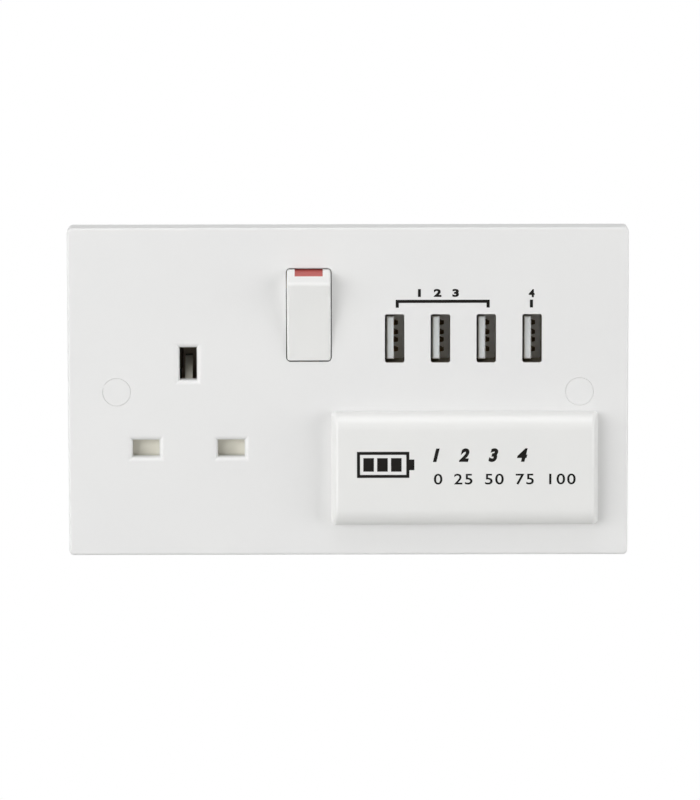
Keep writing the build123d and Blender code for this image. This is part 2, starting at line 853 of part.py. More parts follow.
def usb_shell(x):
    # A drawn steel shell, open at the front
    with BuildPart() as shell:
        with BuildSketch(level(board_front)):
            with Locations((x, port_z)):
                RectangleRounded(shell_width, shell_height, port_corner + shell_wall)
                RectangleRounded(port_width, port_height, port_corner, mode=Mode.SUBTRACT)
        extrude(amount=shell_length)
    return shell


def usb_tongue(x):
    # A moulded plug behind, with the tongue that carries the contacts
    with BuildPart() as tongue:
        with BuildSketch(level(board_front)):
            with Locations((x, port_z)):
                RectangleRounded(port_width, port_height, port_corner)
        extrude(amount=tongue_body_length)
        with BuildSketch(level(board_front + tongue_body_length)):
            with Locations((x - tongue_offset, port_z)):
                Rectangle(tongue_thickness, tongue_height)
        extrude(amount=tongue_tip - board_front - tongue_body_length)
        chamfer(tongue.faces().sort_by(Axis.Y)[0].edges(), tongue_edge)
    return tongue


def usb_pins(x):
    # Four bowed spring contacts on the right face of the tongue
    face_x = x - tongue_offset + tongue_thickness / 2 + contact_thickness / 2
    tip = tongue_tip - contact_tip_back
    bow = [
        (face_x, tip),
        (face_x + contact_bulge, tip - contact_run / 3),
        (face_x, tip - contact_run),
        (face_x, board_front + tongue_body_length),
    ]
    with BuildPart() as pins:
        for place in contact_places:
            with BuildSketch(plan(port_z + place + contact_width / 2)):
                with BuildLine():
                    Polyline(bow)
                trace(line_width=contact_thickness)
            extrude(amount=contact_width)
    return pins


def crowned_block(width, height, rise, crown, end_round):
    # A block with its two long front edges rolled over and its ends drafted and rounded
    with BuildPart() as block:
        with BuildSketch(side(cover_x)) as section:
            span(cover_z - height / 2, cover_z + height / 2, front, front + rise)
            fillet(section.vertices().group_by(Axis.Y)[-1], crown)
        extrude(amount=width / 2, both=True)
        ends = block.faces().filter_by(Axis.X)
        draft(ends, neutral_plane=level(front), angle=cover_draft)
        foot = block.faces().sort_by(Axis.Y)[-1].edges()
        rims = block.faces().sort_by(Axis.X)[0].edges() + block.faces().sort_by(Axis.X)[-1].edges()
        fillet(rims.filter_by(lambda e: e not in foot), end_round)
    return block.part


# Charger cover: a crowned shell with a skirt that snaps into the panel's window
with BuildPart() as charger_cover:
    add(crowned_block(cover_width, cover_height, cover_rise, cover_crown, cover_end_round))
    add(
        crowned_block(
            cover_width - 2 * cover_wall, cover_height - 2 * cover_wall, cover_rise - cover_wall,
            cover_crown - cover_wall, cover_end_round / 2,
        ),
        mode=Mode.SUBTRACT,
    )
    skirt_width = cover_window_width - 2 * skirt_gap
    skirt_height = cover_window_height - 2 * skirt_gap
    with BuildSketch(level(skirt_end)):
        with Locations((cover_window_x, cover_z)):
            RectangleRounded(skirt_width, skirt_height, cover_window_corner - skirt_gap)
            Rectangle(skirt_width - 2 * skirt_wall, skirt_height - 2 * skirt_wall, mode=Mode.SUBTRACT)
    extrude(amount=front + cover_rise - cover_wall / 2 - skirt_end)
    # Hooks behind the panel
    for edge, along in ((-1, -1), (-1, 1), (1, -1), (1, 1)):
        hook_root = cover_z + edge * skirt_height / 2
        with BuildSketch(side(cover_window_x + along * hook_spacing / 2)):
            with BuildLine():
                Polyline(
                    (hook_root, skirt_end),
                    (hook_root + edge * (skirt_gap + hook_reach), skirt_end + hook_height),
                    (hook_root, skirt_end + hook_height),
                    close=True,
                )
            make_face()
        extrude(amount=hook_width / 2, both=True)

# Charger housing: a stepped tray that leaves room for the box lug
with BuildPart() as charger_back:
    with BuildSketch(level(charger_back_out)) as charger_outline:
        span(charger_left, charger_right, charger_bottom, charger_step_z)
        span(charger_left, charger_step_x, charger_bottom, charger_top)
        fillet(charger_outline.vertices(), charger_corner)
    extrude(amount=panel_back - charger_back_out)
    with BuildSketch(level(charger_floor_out)):
        make_face(charger_outline.sketch_local.edges())
        offset(amount=-charger_wall, mode=Mode.REPLACE)
    extrude(amount=panel_back - charger_floor_out, mode=Mode.SUBTRACT)
    # Columns that the board rests on
    with BuildSketch(level(charger_back_out)):
        with Locations(*charger_screw_points):
            Circle(column_diameter / 2)
    extrude(amount=board_back - charger_back_out)
    with BuildSketch(level(charger_back_out)):
        with Locations(*charger_screw_points):
            Circle(case_screw / 2 + case_screw_gap)
    extrude(amount=board_back - charger_back_out, mode=Mode.SUBTRACT)
    charger_seat = board_front + case_screw_bite - charger_screw_length
    with BuildSketch(level(charger_back_out)):
        with Locations(*charger_screw_points):
            Circle(case_screw_head / 2 + case_screw_gap)
    extrude(amount=charger_seat - charger_back_out, mode=Mode.SUBTRACT)
    # Cooling slots
    with BuildSketch(level(charger_back_out)):
        with Locations((vent_x, vent_z)):
            with GridLocations(vent_pitch, 0, vent_count, 1):
                SlotOverall(vent_length, vent_width, rotation=90)
    extrude(amount=charger_floor, mode=Mode.SUBTRACT)
    # Holes for the leads
    with BuildSketch(side(charger_left)):
        with Locations((line_lead_z, lead_out), (neutral_lead_z, lead_out)):
            Circle(lead_hole / 2)
    extrude(amount=charger_wall, mode=Mode.SUBTRACT)

with BuildPart() as charger_board:
    with BuildSketch(level(board_back)):
        make_face(charger_outline.sketch_local.edges())
        offset(amount=-charger_wall - board_gap, mode=Mode.REPLACE)
        with Locations(*charger_screw_points):
            Circle(case_screw / 2 + board_hole_gap, mode=Mode.SUBTRACT)
    extrude(amount=board_thickness)

# Transformer: a ferrite core on a moulded bobbin, with its taped winding
core_foot = board_front + bobbin_height
core_half = core_leg / 2
window_width = core_width / 2 - core_half - core_side
window_centre = core_half + window_width / 2
window_height = core_height - 2 * core_yoke
with BuildPart() as transformer_bobbin:
    with BuildSketch(level(board_front)):
        with Locations((transformer_x, transformer_z)):
            Rectangle(bobbin_width, bobbin_depth)
    extrude(amount=bobbin_height)

with BuildPart() as transformer_core:
    with BuildSketch(plan(transformer_z)):
        with Locations((transformer_x, core_foot + core_height / 2)):
            Rectangle(core_width, core_height)
            with GridLocations(2 * window_centre, 0, 2, 1):
                Rectangle(window_width, window_height, mode=Mode.SUBTRACT)
    extrude(amount=core_depth / 2, both=True)

with BuildPart() as transformer_winding:
    with BuildSketch(level(core_foot + core_yoke)):
        with Locations((transformer_x, transformer_z)):
            RectangleRounded(
                core_leg + 2 * (window_width - winding_gap), core_depth + 2 * winding_overhang, core_half
            )
            Rectangle(core_leg, core_depth, mode=Mode.SUBTRACT)
    extrude(amount=window_height)


def cans(points, diameter, height):
    # Upright capacitor cans with a crimped ring near the foot
    radius = diameter / 2
    with BuildPart() as group:
        for x, z in points:
            with BuildSketch(tilted_side(x, z, board_front, 0)):
                with BuildLine():
                    Line((0, 0), (0, height))
                    Line((0, height), (radius - can_edge, height))
                    Line((radius - can_edge, height), (radius, height - can_edge))
                    Line((radius, height - can_edge), (radius, can_groove_up + can_groove))
                    ThreePointArc(
                        (radius, can_groove_up + can_groove),
                        (radius - can_groove, can_groove_up),
                        (radius, can_groove_up - can_groove),
                    )
                    Line((radius, can_groove_up - can_groove), (radius, 0))
                    Line((radius, 0), (0, 0))
                make_face()
            revolve(axis=Axis((x, 0, z), (0, 1, 0)))
    return group


with BuildPart() as film_capacitor:
    with BuildSketch(level(board_front)):
        with Locations((film_x, film_z)):
            RectangleRounded(film_width, film_depth, can_edge)
    extrude(amount=film_height)

with BuildPart() as control_chips:
    with BuildSketch(level(board_back)):
        with Locations(*chip_places):
            Rectangle(chip_width, chip_length)
    extrude(amount=-chip_thickness)


def lead(start_x, z):
    # An insulated lead from a strip, over the walls and down to the board
    route = [
        (start_x, -strip_front, z),
        (start_x, -lead_out, z),
        (lead_end_x, -lead_out, z),
        (lead_end_x, -board_front, z),
    ]
    with BuildPart() as wire:
        with BuildLine() as path:
            FilletPolyline(*route, radius=lead_bend)
        with BuildSketch(Plane(origin=path.line @ 0, z_dir=path.line % 0)):
            Circle(lead_diameter / 2)
        sweep()
    return wire


pieces = {
    "front_plate": front_plate,
    "screw_cap_left": screw_cap(fixing_points[0]),
    "screw_cap_right": screw_cap(fixing_points[1]),
    "rocker": rocker,
    "rocker_flag": rocker_flag,
    "rocker_plunger": rocker_plunger,
    "plunger_spring": plunger_spring,
    "switch_bridge": switch_bridge,
    "moving_tip": moving_tip,
    "fixed_tip": fixed_tip,
    "shutter": shutter,
    "shutter_spring": shutter_spring,
    "line_contact": line_contact,
    "neutral_contact": neutral_contact,
    "earth_contact": earth_contact,
    "feed_strip": feed_strip,
    "terminal_screws": terminal_screws,
    "socket_base": socket_base,
    "base_screws": case_screws(base_screw_points, base_seat, base_screw_length),
    "charger_cover": charger_cover,
    "charger_back": charger_back,
    "charger_screws": case_screws(charger_screw_points, charger_seat, charger_screw_length),
    "charger_board": charger_board,
    "transformer_bobbin": transformer_bobbin,
    "transformer_core": transformer_core,
    "transformer_winding": transformer_winding,
    "bulk_capacitors": cans(bulk_points, bulk_diameter, bulk_height),
    "output_capacitors": cans(output_points, output_diameter, output_height),
    "film_capacitor": film_capacitor,
    "fuse": cans([(fuse_x, fuse_z)], fuse_diameter, fuse_height),
    "control_chips": control_chips,
    "line_lead": lead(rocker_x, line_lead_z),
    "neutral_lead": lead(neutral_x, neutral_lead_z),
}
for terminal_name, terminal_x in terminal_xs.items():
    pieces[f"{terminal_name}_terminal"] = terminal(terminal_x)
for number, port_x in enumerate(port_xs, start=1):
    pieces[f"usb_shell_{number}"] = usb_shell(port_x)
    pieces[f"usb_tongue_{number}"] = usb_tongue(port_x)
    pieces[f"usb_pins_{number}"] = usb_pins(port_x)

os.makedirs("parts", exist_ok=True)
for name, piece in pieces.items():
    piece.part.label = name
    export_step(piece.part, f"parts/{name}.step")
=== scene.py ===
import bpy
import math
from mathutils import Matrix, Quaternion, Vector


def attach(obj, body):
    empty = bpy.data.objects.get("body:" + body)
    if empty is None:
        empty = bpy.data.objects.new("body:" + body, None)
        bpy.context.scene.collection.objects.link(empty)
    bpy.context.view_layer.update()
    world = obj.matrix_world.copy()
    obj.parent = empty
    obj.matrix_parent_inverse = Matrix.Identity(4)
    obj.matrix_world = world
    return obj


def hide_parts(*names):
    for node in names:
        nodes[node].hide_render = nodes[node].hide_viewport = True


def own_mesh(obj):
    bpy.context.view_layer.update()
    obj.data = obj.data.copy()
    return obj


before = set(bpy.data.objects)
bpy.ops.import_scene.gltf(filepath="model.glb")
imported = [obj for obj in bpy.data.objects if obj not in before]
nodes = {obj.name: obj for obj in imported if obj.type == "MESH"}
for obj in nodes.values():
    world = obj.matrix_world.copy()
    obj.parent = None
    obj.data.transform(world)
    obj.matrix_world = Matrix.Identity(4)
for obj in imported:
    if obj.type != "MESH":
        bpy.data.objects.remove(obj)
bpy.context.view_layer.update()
scene = bpy.context.scene
mm = 0.001
print("frame loaded:", len(nodes), "nodes")


# sRGB hex to linear
def linear(hexCode):
    channels = [int(hexCode[i:i + 2], 16) / 255 for i in (1, 3, 5)]
    return (*[c / 12.92 if c <= 0.04045 else ((c + 0.055) / 1.055) ** 2.4 for c in channels], 1.0)


# texture scale for a feature of this many millimetres, on coordinates in metres
# moulding grain and rolling lines are given coarser than life, or they would not show
def perMetre(sizeMm):
    return 1 / (sizeMm * mm)


# adds a node, sets its sockets and settings, and links what feeds it
def addNode(tree, kind, values=None, links=None, **settings):
    node = tree.nodes.new(kind)
    for name, value in settings.items():
        setattr(node, name, value)
    for socket, value in (values or {}).items():
        node.inputs[socket].default_value = value
    for socket, source in (links or {}).items():
        tree.links.new(source, node.inputs[socket])
    return node


# a mix node's colour sockets share their names with its other sockets, so they go by number
mixFirst, mixSecond, mixResult = 6, 7, 2


def newMaterial(name):
    material = bpy.data.materials.new(name)
    material.use_nodes = True
    tree = material.node_tree
    place = addNode(tree, "ShaderNodeTexCoord").outputs["Object"]
    return material, tree, tree.nodes["Principled BSDF"], place


# moulded plastic: a faint cloudiness in the colour, and the tool's texture in the gloss and the bump
plasticNoise = {"cloudDetail": 3.0, "grainDetail": 2.0, "bumpStrength": 0.5}


def mouldedPlastic(name, finish):
    material, tree, shader, place = newMaterial(name)
    clouds = addNode(tree, "ShaderNodeTexNoise",
                     {"Scale": perMetre(finish["cloudMm"]), "Detail": plasticNoise["cloudDetail"]},
                     {"Vector": place})
    tone = addNode(tree, "ShaderNodeMix",
                   {mixFirst: linear(finish["colour"]), mixSecond: linear(finish["shade"])},
                   {"Factor": clouds.outputs["Fac"]}, data_type="RGBA")
    grain = addNode(tree, "ShaderNodeTexNoise",
                    {"Scale": perMetre(finish["grainMm"]), "Detail": plasticNoise["grainDetail"]},
                    {"Vector": place})
    gloss = addNode(tree, "ShaderNodeMapRange",
                    {"To Min": finish["gloss"][0], "To Max": finish["gloss"][1]},
                    {"Value": grain.outputs["Fac"]})
    bump = addNode(tree, "ShaderNodeBump",
                   {"Strength": plasticNoise["bumpStrength"], "Distance": finish["grainDepthMm"] * mm},
                   {"Height": grain.outputs["Fac"]})
    shader.inputs["IOR"].default_value = finish["ior"]
    tree.links.new(tone.outputs[mixResult], shader.inputs["Base Color"])
    tree.links.new(gloss.outputs["Result"], shader.inputs["Roughness"])
    tree.links.new(bump.outputs["Normal"], shader.inputs["Normal"])
    return material


# worked metal: fine lines along the way it was rolled, drawn or cut, and a duller tarnish in patches
metalNoise = {"lineDetail": 3.0, "patchDetail": 4.0, "bumpStrength": 0.6}


def workedMetal(name, finish):
    material, tree, shader, place = newMaterial(name)
    stretch = addNode(tree, "ShaderNodeMapping", {"Scale": finish["linesAlong"]}, {"Vector": place})
    lines = addNode(tree, "ShaderNodeTexNoise",
                    {"Scale": perMetre(finish["lineMm"]), "Detail": metalNoise["lineDetail"]},
                    {"Vector": stretch.outputs["Vector"]})
    patches = addNode(tree, "ShaderNodeTexNoise",
                      {"Scale": perMetre(finish["patchMm"]), "Detail": metalNoise["patchDetail"]},
                      {"Vector": place})
    tone = addNode(tree, "ShaderNodeMix",
                   {mixFirst: linear(finish["colour"]), mixSecond: linear(finish["tarnish"])},
                   {"Factor": patches.outputs["Fac"]}, data_type="RGBA")
    gloss = addNode(tree, "ShaderNodeMapRange",
                    {"To Min": finish["gloss"][0], "To Max": finish["gloss"][1]},
                    {"Value": lines.outputs["Fac"]})
    bump = addNode(tree, "ShaderNodeBump",
                   {"Strength": metalNoise["bumpStrength"], "Distance": finish["lineDepthMm"] * mm},
                   {"Height": lines.outputs["Fac"]})
    shader.inputs["Metallic"].default_value = 1.0
    tree.links.new(tone.outputs[mixResult], shader.inputs["Base Color"])
    tree.links.new(gloss.outputs["Result"], shader.inputs["Roughness"])
    tree.links.new(bump.outputs["Normal"], shader.inputs["Normal"])
    return material


# gives CAD nodes their material
def dress(material, *names):
    for name in names:
        slots = nodes[name].data.materials
        slots.clear()
        slots.append(material)


# urea-formaldehyde, compression moulded in a polished tool: a dense cool white with a soft sheen
ureaFinish = {"colour": "#E7E7E6", "shade": "#E2E2E2", "cloudMm": 30.0, "grainMm": 0.6,
              "grainDepthMm": 0.004, "gloss": (0.34, 0.42), "ior": 1.55}
dress(mouldedPlastic("urea compression moulded", ureaFinish),
      "front_plate", "screw_cap_left", "screw_cap_right")

# polycarbonate, injection moulded: the same white, a little smoother
polycarbonateFinish = {"colour": "#E7E7E5", "shade": "#E3E3E2", "cloudMm": 18.0, "grainMm": 0.5,
                       "grainDepthMm": 0.003, "gloss": (0.3, 0.38), "ior": 1.585}
dress(mouldedPlastic("polycarbonate moulded", polycarbonateFinish), "charger_cover")

# the rocker is the same plastic; its pivot pins, past the rocker's sides, get a dark grey painted shade so
# the gap round the rocker stays dark where they cross it
rockerFinish = {**polycarbonateFinish, "colour": "#EAEAE8", "shade": "#E6E6E5"}
rockerPlastic = mouldedPlastic("polycarbonate moulded, pins in painted shade", rockerFinish)
pivotPaintedShade = {"colour": "#3C3B38", "middle": -10.16, "from": 5.75}  # mm: middle in X, pins from it
tree = rockerPlastic.node_tree
shader = tree.nodes["Principled BSDF"]
tone = shader.inputs["Base Color"].links[0].from_socket
place = addNode(tree, "ShaderNodeTexCoord").outputs["Object"]
across = addNode(tree, "ShaderNodeSeparateXYZ", None, {"Vector": place}).outputs["X"]
offset = addNode(tree, "ShaderNodeMath", {1: pivotPaintedShade["middle"] * mm}, {0: across}, operation="SUBTRACT")
fromMiddle = addNode(tree, "ShaderNodeMath", None, {0: offset.outputs[0]}, operation="ABSOLUTE")
onPin = addNode(tree, "ShaderNodeMath", {1: pivotPaintedShade["from"] * mm}, {0: fromMiddle.outputs[0]},
                operation="GREATER_THAN")
# mixes the dark painted shade over the plastic wherever a pivot pin is
pinShadeMix = addNode(tree, "ShaderNodeMix", {mixSecond: linear(pivotPaintedShade["colour"])},
                  {"Factor": onPin.outputs[0], mixFirst: tone}, data_type="RGBA")
tree.links.new(pinShadeMix.outputs[mixResult], shader.inputs["Base Color"])
dress(rockerPlastic, "rocker")

# ABS moulded in red: opaque, slightly dusty
flagFinish = {"colour": "#B5554F", "shade": "#AD4D48", "cloudMm": 3.0, "grainMm": 0.35,
              "grainDepthMm": 0.004, "gloss": (0.4, 0.5), "ior": 1.54}
dress(mouldedPlastic("red ABS moulded", flagFinish), "rocker_flag")

# natural nylon, injection moulded: warm, waxy and matt
nylonFinish = {"colour": "#E9E6D9", "shade": "#E2DFD0", "cloudMm": 6.0, "grainMm": 0.4,
               "grainDepthMm": 0.006, "gloss": (0.5, 0.62), "ior": 1.53}
dress(mouldedPlastic("natural nylon moulded", nylonFinish), "shutter", "rocker_plunger")

# glass-filled nylon in charcoal, spark-eroded tool: dark and evenly grained
charcoalFinish = {"colour": "#343433", "shade": "#2B2B2A", "cloudMm": 14.0, "grainMm": 0.45,
                  "grainDepthMm": 0.02, "gloss": (0.5, 0.66), "ior": 1.53}
charcoalNylon = mouldedPlastic("charcoal nylon moulded", charcoalFinish)
dress(charcoalNylon, "socket_base", "charger_back")

# phenolic, transfer moulded: black with a dull shine
phenolicFinish = {"colour": "#1E1D1C", "shade": "#161615", "cloudMm": 5.0, "grainMm": 0.3,
                  "grainDepthMm": 0.006, "gloss": (0.38, 0.5), "ior": 1.6}
dress(mouldedPlastic("phenolic moulded", phenolicFinish), "transformer_bobbin", "control_chips", "fuse")

# filled polyester in the tongues of the ports: a cool pale grey
tongueFinish = {"colour": "#ECEFF0", "shade": "#E7EBEC", "cloudMm": 4.0, "grainMm": 0.3,
                "grainDepthMm": 0.003, "gloss": (0.42, 0.5), "ior": 1.57}
dress(mouldedPlastic("polyester moulded", tongueFinish), *[f"usb_tongue_{n}" for n in range(1, 5)])

# epoxy-sealed box of the film capacitor: ochre and slightly glossy
filmBoxFinish = {"colour": "#B99A3E", "shade": "#AC8D35", "cloudMm": 5.0, "grainMm": 0.3,
                 "grainDepthMm": 0.003, "gloss": (0.3, 0.4), "ior": 1.55}
dress(mouldedPlastic("epoxy box moulded", filmBoxFinish), "film_capacitor")

# PVC, extruded over the leads: soft shine, even colour
brownFinish = {"colour": "#5A3723", "shade": "#4F2F1D", "cloudMm": 6.0, "grainMm": 0.5,
               "grainDepthMm": 0.004, "gloss": (0.34, 0.44), "ior": 1.53}
blueFinish = {**brownFinish, "colour": "#2A4F93", "shade": "#244684"}
dress(mouldedPlastic("brown PVC extruded", brownFinish), "line_lead")
dress(mouldedPlastic("blue PVC extruded", blueFinish), "neutral_lead")

# PVC sleeve shrunk over the capacitor cans: dark blue and glossy
sleeveFinish = {"colour": "#1D2740", "shade": "#182038", "cloudMm": 5.0, "grainMm": 0.6,
                "grainDepthMm": 0.006, "gloss": (0.2, 0.3), "ior": 1.53}
dress(mouldedPlastic("PVC sleeve shrunk", sleeveFinish), "bulk_capacitors", "output_capacitors")

# polyester tape wound round the transformer: yellow with a satin shine
tapeFinish = {"colour": "#D9B63A", "shade": "#CFA92F", "cloudMm": 4.0, "grainMm": 0.8,
              "grainDepthMm": 0.01, "gloss": (0.28, 0.4), "ior": 1.6}
dress(mouldedPlastic("polyester tape wound", tapeFinish), "transformer_winding")

# ferrite, pressed and sintered: near-black with a gritty ceramic sheen
ferriteFinish = {"colour": "#2C2D30", "shade": "#232427", "cloudMm": 3.0, "grainMm": 0.25,
                 "grainDepthMm": 0.012, "gloss": (0.42, 0.6), "ior": 1.9}
dress(mouldedPlastic("ferrite sintered", ferriteFinish), "transformer_core")

# glass-epoxy board under a screened solder mask: deep green, smooth and half glossy
boardFinish = {"colour": "#1F5A38", "shade": "#1A4D30", "cloudMm": 9.0, "grainMm": 0.5,
               "grainDepthMm": 0.006, "gloss": (0.26, 0.36), "ior": 1.55}
dress(mouldedPlastic("solder mask on glass epoxy", boardFinish), "charger_board")

# cold-rolled brass: yellow and dulled, with fine lines along the strip
brassFinish = {"colour": "#C2A05C", "tarnish": "#9A7740", "linesAlong": (1.0, 1.0, 0.06), "lineMm": 0.25,
               "patchMm": 5.0, "lineDepthMm": 0.004, "gloss": (0.45, 0.6)}
dress(workedMetal("brass rolled", brassFinish), "line_contact", "neutral_contact", "feed_strip")

# tin-plated brass for the earth jaws: pale, warm and soft in its shine
tinFinish = {**brassFinish, "colour": "#DDD2C4", "tarnish": "#BFB09C", "gloss": (0.5, 0.66)}
dress(workedMetal("brass tin plated", tinFinish), "earth_contact")

# extruded brass, sawn and tumbled: duller, with cross marks
blockFinish = {**brassFinish, "colour": "#D2AE66", "tarnish": "#AE8748", "linesAlong": (0.08, 1.0, 1.0),
               "gloss": (0.3, 0.46)}
dress(workedMetal("brass sawn", blockFinish),
      "line_terminal", "neutral_terminal", "earth_1_terminal", "earth_2_terminal")

# zinc-plated steel screws: pale and slightly blue
zincFinish = {"colour": "#C9CCCE", "tarnish": "#A9ADAF", "linesAlong": (1.0, 0.15, 1.0), "lineMm": 0.2,
              "patchMm": 2.0, "lineDepthMm": 0.004, "gloss": (0.24, 0.4)}
dress(workedMetal("steel zinc plated", zincFinish), "terminal_screws", "base_screws", "charger_screws")

# spring steel, drawn: mid grey, with lines along the wire
springFinish = {**zincFinish, "colour": "#B4B5B6", "tarnish": "#8F9091", "linesAlong": (1.0, 1.0, 0.3)}
dress(workedMetal("spring steel drawn", springFinish), "shutter_spring", "plunger_spring")

# rolled copper see-saw, pink and streaked, and coined silver tips, pale and bright
copperFinish = {**brassFinish, "colour": "#C98363", "tarnish": "#9F5E43"}
dress(workedMetal("copper rolled", copperFinish), "switch_bridge")
silverFinish = {**zincFinish, "colour": "#DDDCD8", "tarnish": "#BDBAB2", "gloss": (0.18, 0.3)}
dress(workedMetal("silver coined", silverFinish), "moving_tip", "fixed_tip")

# stamped steel under nickel: grey with drawing lines from front to back
shellFinish = {"colour": "#A1998A", "tarnish": "#8B8171", "linesAlong": (1.0, 0.08, 1.0), "lineMm": 0.18,
               "patchMm": 3.0, "lineDepthMm": 0.004, "gloss": (0.34, 0.5)}
dress(workedMetal("steel nickel plated", shellFinish), *[f"usb_shell_{n}" for n in range(1, 5)])

# phosphor bronze contacts, dark with plating wear
pinFinish = {"colour": "#94846A", "tarnish": "#766850", "linesAlong": (1.0, 0.1, 1.0), "lineMm": 0.15,
             "patchMm": 0.8, "lineDepthMm": 0.003, "gloss": (0.3, 0.45)}
dress(workedMetal("phosphor bronze plated", pinFinish), *[f"usb_pins_{n}" for n in range(1, 5)])
print("materials:", len(bpy.data.materials))

# return spring under the shutter: a copy of its mesh, fixed to the housing so its foot stays on the base
shutterCoil = bpy.data.objects.new("shutterCoil", nodes["shutter_spring"].data.copy())
scene.collection.objects.link(shutterCoil)
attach(shutterCoil, "housing")
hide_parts("shutter_spring")
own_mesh(shutterCoil)
print("return spring done")

# pad-printed ink: near black, dry, with slight mottling where the pad lifted
inkFinish = {"colour": "#11100E", "shade": "#181613", "cloudMm": 1.2, "grainMm": 0.12,
             "grainDepthMm": 0.004, "gloss": (0.7, 0.85), "ior": 1.5, "specular": 0.15}
inkMaterial = mouldedPlastic("pad-printed ink", inkFinish)
inkShader = inkMaterial.node_tree.nodes["Principled BSDF"]
inkShader.inputs["Specular IOR Level"].default_value = inkFinish["specular"]
inkPrint = {"material": inkMaterial, "film": 0.02, "side": 1}  # film: mm proud of the face
mouldedMark = {"material": charcoalNylon, "film": 0.4, "side": -1}  # raised marks, read from behind


# a flat mark on a face: out is that face's distance from the wall plane, to the front or to the rear
def markPiece(name, curve, out, kind):
    holder = bpy.data.objects.new(name + "Curve", curve)
    holder.rotation_euler = (math.pi / 2, 0, 0 if kind["side"] > 0 else math.pi)
    holder.location = (0, -kind["side"] * out * mm, 0)
    scene.collection.objects.link(holder)
    bpy.context.view_layer.update()
    depsgraph = bpy.context.evaluated_depsgraph_get()
    mesh = bpy.data.meshes.new_from_object(holder.evaluated_get(depsgraph))
    mesh.transform(holder.matrix_world)
    bpy.data.objects.remove(holder)
    piece = bpy.data.objects.new(name, mesh)
    scene.collection.objects.link(piece)
    mesh.materials.clear()
    mesh.materials.append(kind["material"])
    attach(piece, "housing")
    return piece


# closed outlines in mm, right and up as the mark is read; an outline inside another leaves a hole
def markShape(name, loops, out, kind):
    curve = bpy.data.curves.new(name, "CURVE")
    curve.dimensions, curve.fill_mode, curve.extrude = "2D", "BOTH", kind["film"] * mm
    for loop in loops:
        spline = curve.splines.new("POLY")
        spline.points.add(len(loop) - 1)
        spline.use_cyclic_u = True
        for point, (x, z) in zip(spline.points, loop):
            point.co = (x * mm, z * mm, 0, 1)
    return markPiece(name, curve, out, kind)


# text drawn to fill its box: left, right, low, high in mm, as it is read
def markText(name, look, out, kind):
    curve = bpy.data.curves.new(name, "FONT")
    curve.body, curve.shear = look["text"], look["slant"]
    curve.bevel_depth, curve.bevel_resolution = look["weight"], 0  # widens the strokes, pressed flat below
    curve.space_character, curve.space_word = look["spacing"], look["gap"]
    curve.resolution_u = 6  # steps along each bend of a letter
    curve.extrude = 0.01  # any thickness will do, since both faces are set below
    piece = markPiece(name, curve, 0.0, kind)
    left, right, low, high = [edge * mm for edge in look["box"]]
    corners = [vertex.co for vertex in piece.data.vertices]
    side = kind["side"]
    x0, x1 = min(side * c.x for c in corners), max(side * c.x for c in corners)
    z0, z1 = min(c.z for c in corners), max(c.z for c in corners)
    for c in corners:
        c.x = side * (left + (side * c.x - x0) / (x1 - x0) * (right - left))
        c.z = low + (c.z - z0) / (z1 - z0) * (high - low)
        c.y = -side * out * mm + math.copysign(kind["film"] * mm, c.y)
    return piece


# outlines for markShape
def bar(left, right, low, high):
    return [(left, low), (right, low), (right, high), (left, high)]


def circle(x, z, radius, count=40):
    turns = [2 * math.pi * step / count for step in range(count)]
    return [(x + radius * math.cos(turn), z + radius * math.sin(turn)) for turn in turns]


# port marks: a bracket over the first three ports and a tick over the fourth
portMarks = {"left": 12.43, "right": 36.87, "top": 24.07, "foot": 22.01, "line": 0.82, "tick": 47.72}
plateFace = 9.0
left, right, top, foot, line, tick = portMarks.values()
markShape("bracketMark", [[
    (left, foot), (left + line, foot), (left + line, top - line), (right - line, top - line),
    (right - line, foot), (right, foot), (right, top), (left, top)]], plateFace, inkPrint)
markShape("tickMark", [bar(tick - line / 2, tick + line / 2, foot, top)], plateFace, inkPrint)
bracketNumbers = {"text": "1 2 3", "box": (18.23, 28.88, 24.8, 26.9), "slant": 0.0, "weight": 0.05,
                  "spacing": 1.2, "gap": 2.0}
tickNumber = {**bracketNumbers, "text": "4", "box": (47.0, 48.55, 24.7, 26.8)}
markText("bracketNumbers", bracketNumbers, plateFace, inkPrint)
markText("tickNumber", tickNumber, plateFace, inkPrint)

# charger cover: a plain battery sign, the port numbers, and a charge scale
coverFace = 14.0
battery = {"left": 2.29, "right": 17.21, "low": -21.96, "high": -15.11, "wall": 0.8,
           "knobLength": 1.3, "knobHeight": 2.8, "cells": 3, "cellWidth": 2.75, "cellGap": 0.85}
caseEnd = battery["right"] - battery["knobLength"]
inner = (battery["left"] + battery["wall"], caseEnd - battery["wall"],
         battery["low"] + battery["wall"], battery["high"] - battery["wall"])
signLoops = [bar(battery["left"], caseEnd, battery["low"], battery["high"]), bar(*inner)]
cellGap, cellWidth = battery["cellGap"], battery["cellWidth"]
for cell in range(battery["cells"]):
    first = inner[0] + cellGap + cell * (cellGap + cellWidth)
    signLoops.append(bar(first, first + cellWidth, inner[2] + cellGap, inner[3] - cellGap))
markShape("batterySign", signLoops, coverFace, inkPrint)
middle = (battery["low"] + battery["high"]) / 2
knobHalf = battery["knobHeight"] / 2
markShape("batteryKnob", [bar(caseEnd, battery["right"], middle - knobHalf, middle + knobHalf)],
          coverFace, inkPrint)
coverNumbers = {"text": "1 2 3 4", "box": (22.02, 46.68, -17.82, -14.23), "slant": 0.25, "weight": 0.055,
                "spacing": 1.5, "gap": 2.6}
markText("coverNumbers", coverNumbers, coverFace, inkPrint)
chargeScale = {"text": "0 25 50 75 100", "box": (22.28, 59.16, -23.75, -20.9), "slant": 0.0,
               "weight": 0.012, "spacing": 1.15, "gap": 1.6}
markText("chargeScale", chargeScale, coverFace, inkPrint)
print("print on the plate and the cover done")

